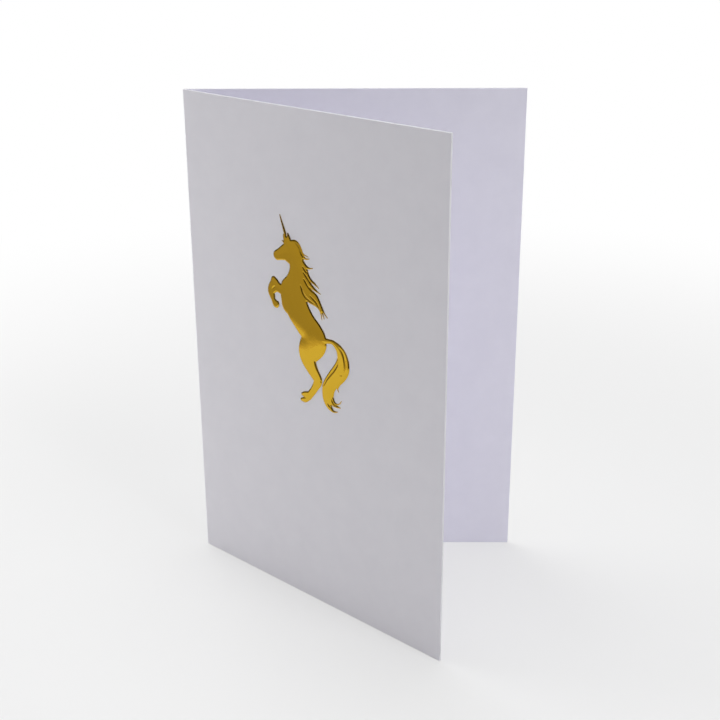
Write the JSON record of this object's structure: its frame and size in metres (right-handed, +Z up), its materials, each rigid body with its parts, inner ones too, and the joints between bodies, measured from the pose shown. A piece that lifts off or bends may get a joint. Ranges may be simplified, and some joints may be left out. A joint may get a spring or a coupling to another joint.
{
  "type": "greeting card",
  "caption": "Folded white board greeting card standing open like a book, with a raised gold-foil rearing unicorn on the front panel.",
  "frame": {"origin": "under the middle of the standing card's box, on the surface that it stands on", "axes": "+Z up along the fold; the front panel lies along X with its outside facing -Y and the fold at its -X end; the back panel opens behind it towards +Y"},
  "size_m": [0.1016, 0.0694, 0.1524],
  "materials": {
    "board": "uncoated white card board with a fine tooth",
    "foil": "mirror-bright gold hot-stamping foil"
  },
  "bodies": {
    "root": {"card": "board", "foil_unicorn": "foil"}
  },
  "joints": []
}
